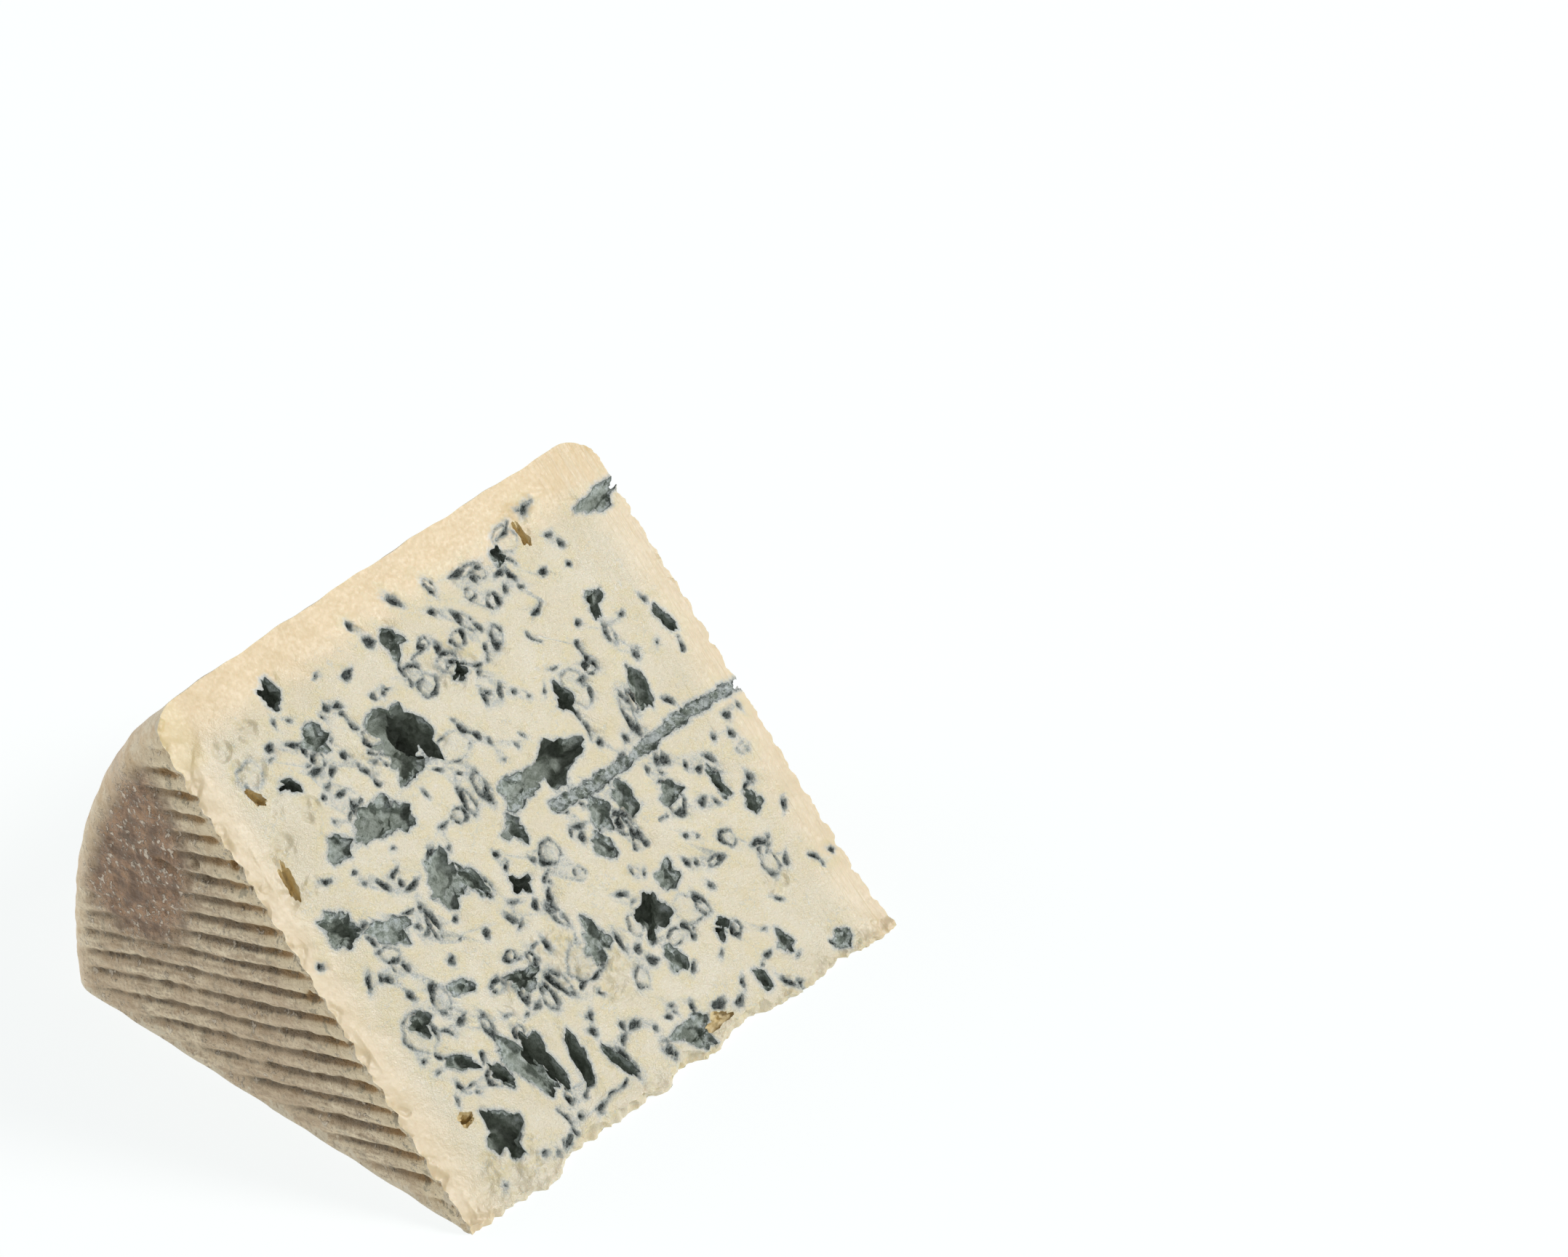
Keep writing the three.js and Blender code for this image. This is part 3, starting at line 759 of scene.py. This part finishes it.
rows = list(enumerate(lower_openings, len(openings)))
lower_hollows = new_piece("lower_hollows", partial(make_hollows, rows=rows, upper=False))
cut_away(cheese, lower_hollows, mould)

# The needle hole: a rod let air in along the wheel's axis, and the cut laid its bore open. Mould
# lines the bore, which is ragged and of uneven width.
needle_diameter = 2.7
needle_start = 54
needle_place = 47.6
needle_sink = 0.4
needle_roughness = 0.42
needle_swell = 0.5


def make_needle(made):
    """A long rod, bent and roughened, that stands out past the far face."""
    radius = needle_diameter / 2
    length = wheel_height - needle_start + 10
    bmesh.ops.create_cone(
        made, cap_ends=True, segments=28, radius1=radius, radius2=radius, depth=length,
    )
    sides = [edge for edge in made.edges if height_change(edge) > 1]
    bmesh.ops.subdivide_edges(made, edges=sides, cuts=170, use_grid_fill=True)
    ends = [edge for edge in made.edges if abs(edge.verts[0].co.z + edge.verts[1].co.z) > length - 0.1]
    round_edges(made, ends, radius * 0.9, 4)
    bmesh.ops.triangulate(made, faces=made.faces)
    for vert in made.verts:
        across = vert.co.z + length / 2 + needle_start
        local = Vector((vert.co.x, vert.co.y, across))
        rough_place = Vector((local.x * 0.9, local.y * 0.9, across * 0.7))
        rough = 1 + needle_roughness * noise.fractal(rough_place, 0.6, crag_step, 5)
        rough *= 0.9 + needle_swell * noise.noise(Vector((across * 0.24, 4.0, 0)))
        sway = 0.5 * math.sin(0.16 * (across - wheel_height / 2) + 2)
        from_tip = needle_place + sway + local.y * rough
        out = float(upper_relief(across, from_tip)) - radius * needle_sink + local.x * rough
        vert.co = Vector((across, 0, 0)) + along_slope * from_tip + out_of_cut * out


cut_away(cheese, new_piece("needle", make_needle), mould)


def drop_crumbs(mesh):
    """Keeps the largest shell. What the openings cut free from it falls away."""
    made = bmesh.new()
    made.from_mesh(mesh)
    waiting = set(made.verts)
    largest = set()
    while waiting:
        start = waiting.pop()
        shell = {start}
        border = [start]
        while border:
            for edge in border.pop().link_edges:
                for vert in edge.verts:
                    if vert in waiting:
                        waiting.remove(vert)
                        shell.add(vert)
                        border.append(vert)
        largest = max(largest, shell, key=len)
    loose = [vert for vert in made.verts if vert not in largest]
    bmesh.ops.delete(made, geom=loose, context="VERTS")
    made.to_mesh(mesh)
    made.free()


drop_crumbs(cheese.data)


# What the materials need to know at each vertex: how far it is from a mark and from a mould-lined
# wall, and how pale its curd is
def store(mesh, name, values):
    attribute = mesh.attributes.new(name, "FLOAT", "POINT")
    attribute.data.foreach_set("value", np.asarray(values, np.float32))


def wall_distance(mesh):
    """Millimetres from each vertex to the nearest mould-lined wall. On the walls it is below 0, and
    says how far in from the opening's edge they are."""
    slots = all_values(mesh.polygons, "material_index", np.int32)
    totals = all_values(mesh.polygons, "loop_total", np.int32)
    corners = all_values(mesh.loops, "vertex_index", np.int32)
    on_wall = np.repeat(slots == mesh.materials.find(mould.name), totals)
    wall = np.zeros(len(mesh.vertices), bool)
    plain = np.zeros(len(mesh.vertices), bool)
    wall[corners[on_wall]] = True
    plain[corners[~on_wall]] = True
    point = places(mesh)
    edge = np.nonzero(wall & plain)[0]
    tree = KDTree(len(edge))
    for number, vertex in enumerate(edge):
        tree.insert(point[vertex], number)
    tree.balance()
    distance = np.fromiter((tree.find(co)[2] for co in point), float, len(point))
    return np.where(wall & ~plain, -distance, distance)


# The mesh is kept within the wedge's own box
point = places(cheese.data)
for axis in range(3):
    origin = (low.x, axis_y, 0)[axis]
    point[:, axis] = np.clip(point[:, axis], (low[axis] - origin) / mm, (high[axis] - origin) / mm)
put_places(cheese.data, point)

across, from_tip, out = on_cut(point)
nearest, curd = mark_distance(across, from_tip)
marked_skin = 3
on_top = out > -marked_skin
store(cheese.data, "mark", np.where(on_top, nearest, far_away))
store(cheese.data, "curd", np.where(on_top, curd, 0))
store(cheese.data, "wall", wall_distance(cheese.data))


# The finishes read the wedge's own coordinates and the three stored values. Their maths is written
# as sums and products of sockets.
class Flow:
    """A socket of a node tree. Sums and products of flows add their Math nodes."""

    def __init__(self, tree, socket=None):
        self.tree = tree
        self.socket = socket

    def node(self, kind, settings=None, inputs=None, out=0):
        made = self.tree.nodes.new(kind)
        for name, value in (settings or {}).items():
            setattr(made, name, value)
        for name, value in (inputs or {}).items():
            if isinstance(value, Flow):
                self.tree.links.new(value.socket, made.inputs[name])
            else:
                made.inputs[name].default_value = value
        return Flow(self.tree, made.outputs[out]) if made.outputs else made

    def maths(self, operation, *others):
        """What a Math node makes of this flow and others."""
        return self.node("ShaderNodeMath", {"operation": operation}, dict(enumerate((self, *others))))

    def __add__(self, other):
        return self.maths("ADD", other)

    def __sub__(self, other):
        return self.maths("SUBTRACT", other)

    def __rsub__(self, other):
        return self * -1 + other

    def __mul__(self, other):
        return self.maths("MULTIPLY", other)

    def __truediv__(self, other):
        return self.maths("DIVIDE", other)

    __radd__ = __add__
    __rmul__ = __mul__

    def absolute(self):
        return self.maths("ABSOLUTE")

    def least(self, other):
        return self.maths("MINIMUM", other)

    def most(self, other):
        return self.maths("MAXIMUM", other)

    def rise(self, start, end, first=0.0, last=1.0):
        """The first value below start, turning smoothly into the last at end."""
        return self.node(
            "ShaderNodeMapRange", {"interpolation_type": "SMOOTHSTEP"},
            {"Value": self, "From Min": start, "From Max": end, "To Min": first, "To Max": last},
        )

    def fade(self, start, end):
        """1 below start, falling smoothly to 0 at end."""
        return self.rise(start, end, 1.0, 0.0)

    def blend(self, first, second):
        """From the first colour at 0 to the second at 1."""
        return self.node("ShaderNodeMix", {"data_type": "RGBA"}, {0: self, 6: first, 7: second}, out=2)

    def mix(self, first, second):
        """From the first value at 0 to the second at 1."""
        return first + (second - first) * self

    def stored(self, name):
        """A value that the mesh holds at each vertex."""
        return self.node("ShaderNodeAttribute", {"attribute_name": name}, out=2)

    def bump(self, strength, height):
        """The normal of a surface that this flow raises by up to a height in millimetres."""
        return self.node("ShaderNodeBump", {}, {
            "Strength": strength, "Distance": height * mm, "Height": self,
        })

    def grain(self, scale, detail=3.0, roughness=0.6, stretch=(1, 1, 1)):
        """Noise about 0.5 at this place, with swells 1 / scale millimetres long."""
        moved = self.node("ShaderNodeMapping", {}, {"Vector": self, "Scale": stretch})
        return self.node(
            "ShaderNodeTexNoise", {},
            {"Vector": moved, "Scale": scale / mm, "Detail": detail, "Roughness": roughness},
        )


def seen(red, green, blue):
    """A colour as it looks on a screen, 0 to 255, as the renderer's linear values."""
    def linear(v):
        v = v / 255
        return v / 12.92 if v <= 0.04045 else ((v + 0.055) / 1.055) ** 2.4
    return (linear(red), linear(green), linear(blue), 1)


def start_tree(material):
    """Clears a material's nodes. Returns the place on the piece, in the piece's own coordinates."""
    material.use_nodes = True
    material.node_tree.nodes.clear()
    return Flow(material.node_tree).node("ShaderNodeTexCoord", out=3)


def coated(shade, *coats):
    """A colour under coats that cover a share of it. Each has its share and its colour on a screen."""
    for share, *colour in coats:
        shade = share.blend(shade, seen(*colour))
    return shade


def finish_tree(where, **sockets):
    skin = where.node("ShaderNodeBsdfPrincipled", {}, {
        name.replace("_", " ").title().replace("Ior", "IOR"): value for name, value in sockets.items()
    })
    where.node("ShaderNodeOutputMaterial", {}, {"Surface": skin})


def in_wheel(where):
    """Millimetres from the near flat face, from the wheel's axis along the table, and up."""
    apart = where.node("ShaderNodeSeparateXYZ", {}, {0: where}).socket.node
    x, y, z = [Flow(where.tree, output) for output in apart.outputs]
    return (x - low.x) / mm, (y - axis_y) / mm, z / mm


def under_rind(across, along, upward):
    """Millimetres in from the near face, the far face and the rim."""
    radius = (along * along + upward * upward).maths("SQRT")
    return across, wheel_height - across, (top_radius + base_radius) / 2 - radius


# The paste: ivory, warmer and plainer in a band under the rind, bluish where mould has crept in. The
# knife dragged streaks along the band by the far face. Small curds in the middle get painted
# highlights: pale glints in the colour, as if wet paste caught the light.
where = start_tree(paste)
across, along, upward = in_wheel(where)
from_near, from_far, from_rim = under_rind(across, along, upward)
wall = where.stored("wall")
mark = where.stored("mark")
curd_share = where.stored("curd")
broad = where.grain(0.07)
coarse = where.grain(0.3)
fine = where.grain(1.5, detail=4)
finest = where.grain(4, detail=2)
drag = where.grain(1.1, detail=4, stretch=(1, 0.05, 0.05))
off_rim = (from_rim + (coarse - 0.5) * 5).rise(4, 11)
off_faces = (from_near.least(from_far) + (coarse - 0.5) * 4).rise(2, 9)
inside = off_rim * off_faces
white = (fine * 0.55 + coarse * 0.45).rise(0.55, 0.62) * broad.rise(0.42, 0.55)
# Painted highlights: pale glints on small curds in the middle, standing for light on wet paste
painted_glint = (finest * 0.6 + fine * 0.4).rise(0.55, 0.64) * broad.rise(0.36, 0.56)
dragged = from_far.fade(9, 16)
chip = from_rim.fade(11, 13) * from_near.fade(5, 7)
off_vein = (where.grain(0.42, detail=3) - 0.5).absolute()
veins = off_vein.fade(0.004, 0.03) * coarse.rise(0.5, 0.62) * inside
nearest_mould = wall.least(mark) + (fine - 0.5) * 1.1 + (finest - 0.5) * 0.6
halo = nearest_mould.fade(0.0, 1.1)
bluish = (curd_share * (0.15 + 0.4 * fine.rise(0.4, 0.65))).most(halo * 0.75).most(veins * 0.5)
scattered = (where.grain(0.3, detail=5) + (broad - 0.5) * 0.3).rise(0.6, 0.63) * inside
ink = nearest_mould.fade(-0.35, 0.12).most(upward.fade(0, 0.2) * scattered)
ink_colour = (fine * 0.5 + finest * 0.5).rise(0.4, 0.7).blend(seen(38, 45, 43), seen(104, 113, 107))
shade = coated(
    broad.rise(0.35, 0.65).blend(seen(221, 210, 180), seen(225, 216, 190)),
    (coarse.rise(0.46, 0.66) * 0.8, 220, 207, 169),
    (white * 0.6, 234, 228, 210),
    (painted_glint * 0.6, 242, 238, 224),
    ((1 - inside) * 0.75, 229, 207, 167),
    ((from_rim + (coarse - 0.5) * 4).fade(3, 13) * 0.7, 224, 196, 142),
    (dragged * drag.rise(0.45, 0.65) * 0.4, 229, 215, 184),
    (chip * 0.6, 230, 210, 158),
    (nearest_mould.fade(0.8, 3.5) * coarse.rise(0.4, 0.6) * 0.5, 222, 209, 164),
    (bluish, 196, 200, 194),
    (nearest_mould.fade(-0.1, 0.55) * 0.8, 142, 151, 150),
)
shade = ink.blend(shade, ink_colour)
relief = fine * (0.06 + 0.4 * inside) + finest * 0.35 * inside + coarse * 0.4
relief = relief + dragged * drag * 0.7
finish_tree(
    where, base_color=shade, roughness=0.4 - 0.1 * inside + 0.3 * ink + 0.3 * (fine - 0.5),
    specular_ior_level=0.5, subsurface_weight=0.22, subsurface_radius=(1.0, 0.65, 0.4),
    subsurface_scale=0.0011, normal=relief.bump(0.45, 0.5),
)

# The mould: a powdery grey-green coat, darkest at its edges, with painted shade where it lies deep
where = start_tree(mould)
across, along, upward = in_wheel(where)
wall = where.stored("wall")
fine = where.grain(1.2, detail=5, roughness=0.7)
finest = where.grain(5, detail=2)
coarse = where.grain(0.45, detail=3)
drag = where.grain(0.9, detail=4, stretch=(0.25, 1, 1))
patches = (fine * 0.5 + drag * 0.3 + coarse * 0.2).rise(0.42, 0.56)
uneven_wall = wall + (coarse - 0.5) * 2
frost = uneven_wall.rise(-1.6, -0.6) * (fine * 0.7 + finest * 0.3).rise(0.49, 0.55)
from_needle = (along * along_slope.y + upward * along_slope.z - needle_place).absolute()
bore = from_needle.fade(1.5, 2.2) * across.rise(needle_start, needle_start + 1)
bore = bore * (fine * 0.5 + coarse * 0.5).rise(0.44, 0.56)
shade = coated(
    patches.blend(seen(128, 137, 127), seen(182, 190, 181)),
    ((fine * 0.6 + coarse * 0.4).rise(0.56, 0.64) * 0.85, 206, 212, 208),
    # Painted shade: a darker grey-green where the wall lies deep in its hollow
    (uneven_wall.fade(-3, -1.2) * 0.4, 142, 148, 134),
    (frost * 0.8, 204, 212, 212),
    (bore * 0.7, 222, 228, 228),
    ((wall + (fine - 0.5) * 1.6).rise(-0.4, 0.1) * 0.8, 58, 67, 64),
)
powder = (fine * 0.7 + finest * 0.3).bump(0.8, 0.5)
finish_tree(where, base_color=shade, roughness=0.95, specular_ior_level=0.15, normal=powder)

# A crevice that no mould has reached: its paste has dried to amber, with painted shade turning it brown
# deep inside
where = start_tree(amber)
wall = where.stored("wall")
fine = where.grain(1.2, detail=4)
shade = coated(
    fine.rise(0.35, 0.65).blend(seen(206, 178, 114), seen(236, 218, 170)),
    # Painted shade: dark brown where the crevice lies deep
    ((wall + (fine - 0.5) * 2).fade(-2.2, -0.7) * 0.75, 128, 98, 54),
    ((wall + (fine - 0.5) * 1.2).rise(-0.8, 0) * 0.6, 226, 208, 164),
)
finish_tree(
    where, base_color=shade, roughness=0.45, specular_ior_level=0.4, normal=fine.bump(0.6, 0.4)
)

# The rind: grey-brown, pale on its crests, with painted shade in its grooves and their own amber near
# the fresh cut. Handling left a smooth pinkish patch with white crumbs in it, and the rim is paler.
where = start_tree(rind)
across, along, upward = in_wheel(where)
from_near, from_far, from_rim = under_rind(across, along, upward)
below_cut = along * math.sin(wedge_angle) - upward * math.cos(wedge_angle)
patch_along = (along - worn_middle[0]) / worn_size[0]
patch_up = (upward - worn_middle[1]) / worn_size[1]
from_patch = patch_along * patch_along + patch_up * patch_up
broad = where.grain(0.05)
coarse = where.grain(0.3)
fine = where.grain(1.3, detail=4)
finest = where.grain(4, detail=2)
flat_face = (from_rim + (coarse - 0.5) * 3).rise(2.5, 9)
depth = from_near.absolute().least(from_far.absolute()) * flat_face
fresh = (below_cut + (coarse - 0.5) * 8).fade(2, 12)
along_rods = along * math.cos(near_turn) - upward * math.sin(near_turn)
across_rods = along * math.sin(near_turn) + upward * math.cos(near_turn)
on_mat = where.node("ShaderNodeCombineXYZ", {}, {0: along_rods * 0.16, 1: across_rods, 2: 0.0})
streaks = flat_face.mix(coarse, on_mat.grain(0.9 * mm, detail=4))
worn = (from_patch + (coarse - 0.5) * 0.8).fade(0.6, 1.4) * flat_face
worn = worn * from_near.fade(20, 80).mix(0.5, 1)
worn_tone = (fine * 0.25 + coarse * 0.75).rise(0.38, 0.62).blend(seen(104, 76, 50), seen(168, 128, 94))
bloom = where.grain(0.11, detail=5).rise(0.56, 0.66) * fine.rise(0.35, 0.6)
mottled = (coarse * 0.8 + fine * 0.2).rise(0.35, 0.65)
rim_tone = coated(
    mottled.blend(seen(222, 194, 152), seen(242, 226, 194)),
    (broad.rise(0.42, 0.6) * 0.6, 230, 200, 166),
    (bloom * 0.45, 196, 188, 168),
    ((fine * 0.7 + finest * 0.3).rise(0.62, 0.68) * 0.5, 160, 128, 88),
)
crest = coated(
    (streaks * 0.6 + fine * 0.4).rise(0.36, 0.62).blend(seen(184, 160, 128), seen(248, 230, 196)),
    (broad.rise(0.45, 0.6) * 0.5, 206, 180, 146),
    (fresh * 0.75, 240, 222, 184),
)
crest = (worn * 0.95).blend(crest, worn_tone)
crest = ((1 - flat_face) * 0.95).blend(crest, rim_tone)
# The grooves' tone is partly painted shade: darker than the crests, with darker streaks. Near the fresh
# cut it is also the amber that the grooves have.
groove_shade_share = (streaks * 0.5 + fine * 0.5).rise(0.5, 0.62) * (1 - fresh * 0.7) * 0.7
groove_tone_and_shade = (fresh * 0.85).blend(seen(146, 126, 98), seen(176, 138, 82))
groove_tone_and_shade = coated(groove_tone_and_shade, (groove_shade_share, 84, 74, 58))
in_groove = (depth + (fine - 0.5) * 0.5 + (streaks - 0.5) * 0.3).rise(0.35, 0.9)
blots = where.grain(0.5, detail=4)
moss = blots.rise(0.56, 0.62) * flat_face * (0.4 + 0.6 * fresh)
ochre = blots.fade(0.38, 0.45) * flat_face * coarse.rise(0.4, 0.55)
crumbs = where.grain(1, detail=3, roughness=0.5)
crumbly_rind = (worn * coarse.rise(0.4, 0.52)).most(flat_face * coarse.rise(0.53, 0.62) * 0.8)
crumb = crumbs.rise(0.56, 0.61) * crumbly_rind
off_curl = (where.grain(0.55, detail=3) - 0.5).absolute()
flake = off_curl.fade(0.004, 0.014) * coarse.rise(0.48, 0.58) * worn
pits = (finest * 0.5 + fine * 0.5).rise(0.63, 0.68) * (1 - crumb)
ragged_edge = (fine - 0.5) * 4 + (crumbs - 0.5) * 5 + (coarse - 0.5) * 8
smear = (below_cut.least(upward) + ragged_edge).fade(0.2, 1.1)
shade = coated(
    (in_groove * (1 - worn * 0.5)).blend(crest, groove_tone_and_shade),
    (moss * 0.5, 96, 98, 82),
    (ochre * 0.22, 190, 152, 104),
    (crumb * 0.75, 236, 222, 200),
    (flake * 0.7, 232, 218, 196),
    (pits * 0.6, 78, 66, 50),
    (smear, 228, 214, 186),
)
smoother = (1 - worn * 0.5) * flat_face.mix(0.35, 1)
relief = (fine * 0.6 + finest * 0.25) * smoother + coarse * 0.5
relief = relief + (crumb + flake - pits) * 0.6 + streaks * 0.5
finish_tree(
    where, base_color=shade, roughness=0.48 - 0.4 * (fine - 0.5), specular_ior_level=0.5,
    normal=relief.bump(0.9, 0.9),
)

for polygon in cheese.data.polygons:
    polygon.use_smooth = True
cheese.data.set_sharp_from_angle(angle=math.radians(40))

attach(cheese, "root")
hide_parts("cheese_wedge")


# The studio: a white table and a bright room, with soft light from the upper right, and a little from
# the left
floor_reach = 3000
room_light = 0.26
lit_point = Vector((0, 0, 0.03))


def make_floor(made):
    bmesh.ops.create_grid(made, x_segments=1, y_segments=1, size=floor_reach)


floor_white = bpy.data.materials.new("white_table")
finish_tree(
    start_tree(floor_white), base_color=(0.2, 0.2, 0.2, 1), roughness=0.9,
    emission_color=(0.97, 1, 1, 1), emission_strength=0.85,
)
floor = new_piece("floor", make_floor, floor_white)

world = bpy.data.worlds.new("world")
world.use_nodes = True
world.node_tree.nodes["Background"].inputs["Color"].default_value = (1, 1, 1, 1)
world.node_tree.nodes["Background"].inputs["Strength"].default_value = room_light
bpy.context.scene.world = world
bpy.context.scene.view_settings.view_transform = "Standard"


def area_light(name, place, size, power):
    data = bpy.data.lights.new(name, "AREA")
    data.size = size
    data.energy = power
    light = bpy.data.objects.new(name, data)
    light.location = place
    light.rotation_euler = (lit_point - Vector(place)).to_track_quat("-Z", "Y").to_euler()
    bpy.context.scene.collection.objects.link(light)


area_light("key", (1.4, -1.55, 1.6), 0.75, 41)
area_light("fill", (-0.7, 1.3, 0.8), 1, 7)
